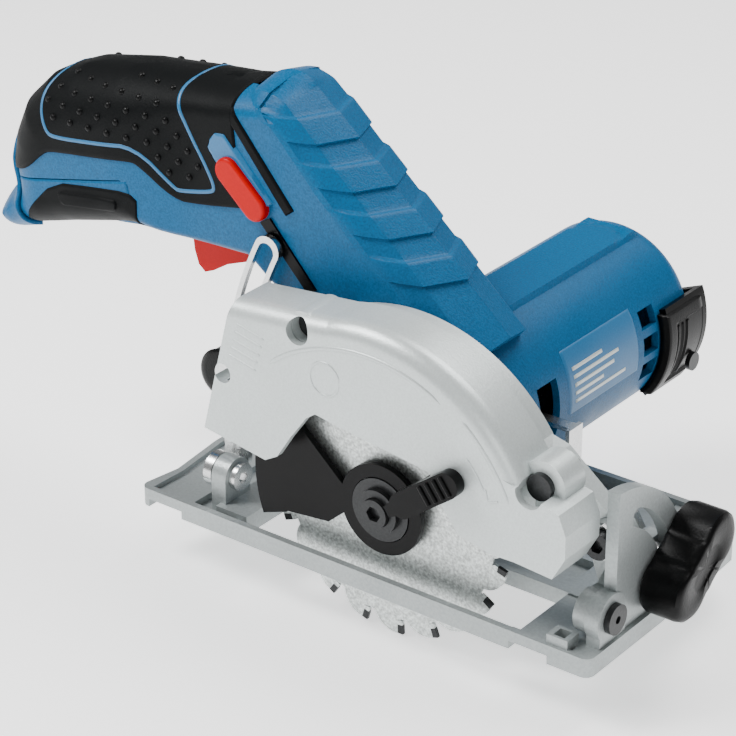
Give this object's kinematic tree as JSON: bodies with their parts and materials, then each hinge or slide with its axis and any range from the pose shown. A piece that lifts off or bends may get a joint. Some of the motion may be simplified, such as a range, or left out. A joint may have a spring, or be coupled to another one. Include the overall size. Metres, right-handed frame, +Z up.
{
  "type": "cordless circular saw",
  "caption": "Compact cordless circular saw with bevel base, depth quadrant, retracting blade guard, motor across the blade and slide-in battery.",
  "frame": {"origin": "on the sole of the base, under the blade spindle, in the parting plane of the handle shells", "axes": "+X the cutting direction, +Y from the blade towards the motor, +Z up from the sole"},
  "size_m": [0.2653, 0.1412, 0.1527],
  "materials": {
    "base_metal": "satin",
    "guard_metal": "satin",
    "bright_steel": "satin",
    "dark_steel": "satin",
    "blade_steel": "polished",
    "dark_guard": "satin",
    "body_colour": "satin",
    "black_plastic": "matte",
    "red_plastic": "gloss",
    "scale_strip": "matte",
    "copper_wound": "satin",
    "cell_wrap": "gloss"
  },
  "bodies": {
    "base": {"base_plate": "base_metal", "front_hinge_pin": "dark_steel", "rear_hinge_bolt": "bright_steel"},
    "tilt_frame": {"tilt_bracket": "base_metal", "depth_pivot_bolt": "bright_steel", "depth_pivot_washer": "bright_steel", "depth_pivot_nut": "bright_steel", "bevel_bolt": "bright_steel", "depth_quadrant": "bright_steel"},
    "saw": {"upper_guard": "guard_metal", "gear_housing": "guard_metal", "bearing_plate": "guard_metal", "spindle_bearing": "bright_steel", "guard_screws": "dark_steel", "depth_clamp_bolt": "bright_steel", "motor_housing": "body_colour", "motor_can": "bright_steel", "motor_magnets": "dark_steel", "motor_bearings": "bright_steel", "tail_clip": "black_plastic", "bracket_screw": "dark_steel", "shell_near": "body_colour", "shell_far": "body_colour", "ribbed_cover": "body_colour", "depth_scale": "scale_strip", "shell_screws": "dark_steel", "trigger_pin": "bright_steel", "switch_module": "black_plastic", "contact_block": "black_plastic", "guard_spring": "bright_steel"},
    "blade_drive": {"spindle": "bright_steel", "drive_gear": "bright_steel", "inner_flange": "dark_steel", "outer_flange": "dark_steel", "blade_bolt": "dark_steel", "saw_blade": "blade_steel"},
    "rotor_set": {"rotor": "copper_wound", "pinion": "bright_steel", "fan": "black_plastic"},
    "lower_guard": {"lower_guard": "dark_guard"},
    "trigger": {"trigger": "red_plastic"},
    "lock_off": {"lock_off_button": "red_plastic"},
    "spindle_lock": {"lock_tab": "bright_steel"},
    "battery": {"battery_case": "black_plastic", "battery_cells": "cell_wrap"},
    "latch_near": {"latch_near": "black_plastic"},
    "latch_far": {"latch_far": "black_plastic"},
    "depth_knob": {"depth_knob": "black_plastic"},
    "bevel_knob": {"bevel_knob": "black_plastic"}
  },
  "joints": [
    {"name": "bevel_tilt", "type": "hinge", "parent": "base", "child": "tilt_frame", "pos_m": [0, -0.0253, 0.0137], "axis": [1, 0, 0], "range_deg": [0, 45]},
    {"name": "cutting_depth", "type": "hinge", "parent": "tilt_frame", "child": "saw", "pos_m": [0.0645, -0.0135, 0.0296], "axis": [0, 1, 0], "range_deg": [-8.7, 15]},
    {"name": "blade_spin", "type": "hinge", "parent": "saw", "child": "blade_drive", "pos_m": [0, -0.0285, 0.0257], "axis": [0, 1, 0], "continuous": true},
    {"name": "motor_spin", "type": "hinge", "parent": "saw", "child": "rotor_set", "pos_m": [0, 0.0315, 0.046], "axis": [0, 1, 0], "continuous": true},
    {"name": "guard_swing", "type": "hinge", "parent": "saw", "child": "lower_guard", "pos_m": [0, -0.0285, 0.0257], "axis": [0, -1, 0], "range_deg": [0, 120]},
    {"name": "trigger_pull", "type": "hinge", "parent": "saw", "child": "trigger", "pos_m": [-0.069, 0, 0.0825], "axis": [0, 1, 0], "range_deg": [0, 9], "stiffness_Nm_per_rad": 0.6, "springref_deg": -17.19},
    {"name": "lock_off_press", "type": "slide", "parent": "saw", "child": "lock_off", "axis": [0, 1, 0], "range_m": [0, 0.0025], "stiffness_N_per_m": 400, "springref_m": -0.001},
    {"name": "spindle_lock_press", "type": "slide", "parent": "saw", "child": "spindle_lock", "axis": [-1, 0, 0], "range_m": [0, 0.003], "stiffness_N_per_m": 500, "springref_m": -0.001},
    {"name": "battery_slide", "type": "slide", "parent": "saw", "child": "battery", "axis": [-0.9744, 0, -0.225], "range_m": [0, 0.06]},
    {"name": "latch_near_press", "type": "slide", "parent": "battery", "child": "latch_near", "axis": [0, 1, 0], "range_m": [0, 0.001], "stiffness_N_per_m": 600, "springref_m": -0.0006},
    {"name": "latch_far_press", "type": "slide", "parent": "battery", "child": "latch_far", "axis": [0, -1, 0], "range_m": [0, 0.001], "stiffness_N_per_m": 600, "springref_m": -0.0006},
    {"name": "depth_knob_turn", "type": "hinge", "parent": "saw", "child": "depth_knob", "pos_m": [-0.06558, -0.0105, 0.04511], "axis": [0, 1, 0], "range_deg": [0, 120]},
    {"name": "bevel_knob_turn", "type": "hinge", "parent": "tilt_frame", "child": "bevel_knob", "pos_m": [0.08, 0.00271, 0.02121], "axis": [1, 0, 0], "range_deg": [0, 120]}
  ],
  "couplings": [
    {"joint": "motor_spin", "follows": "blade_spin", "ratio": -2}
  ]
}
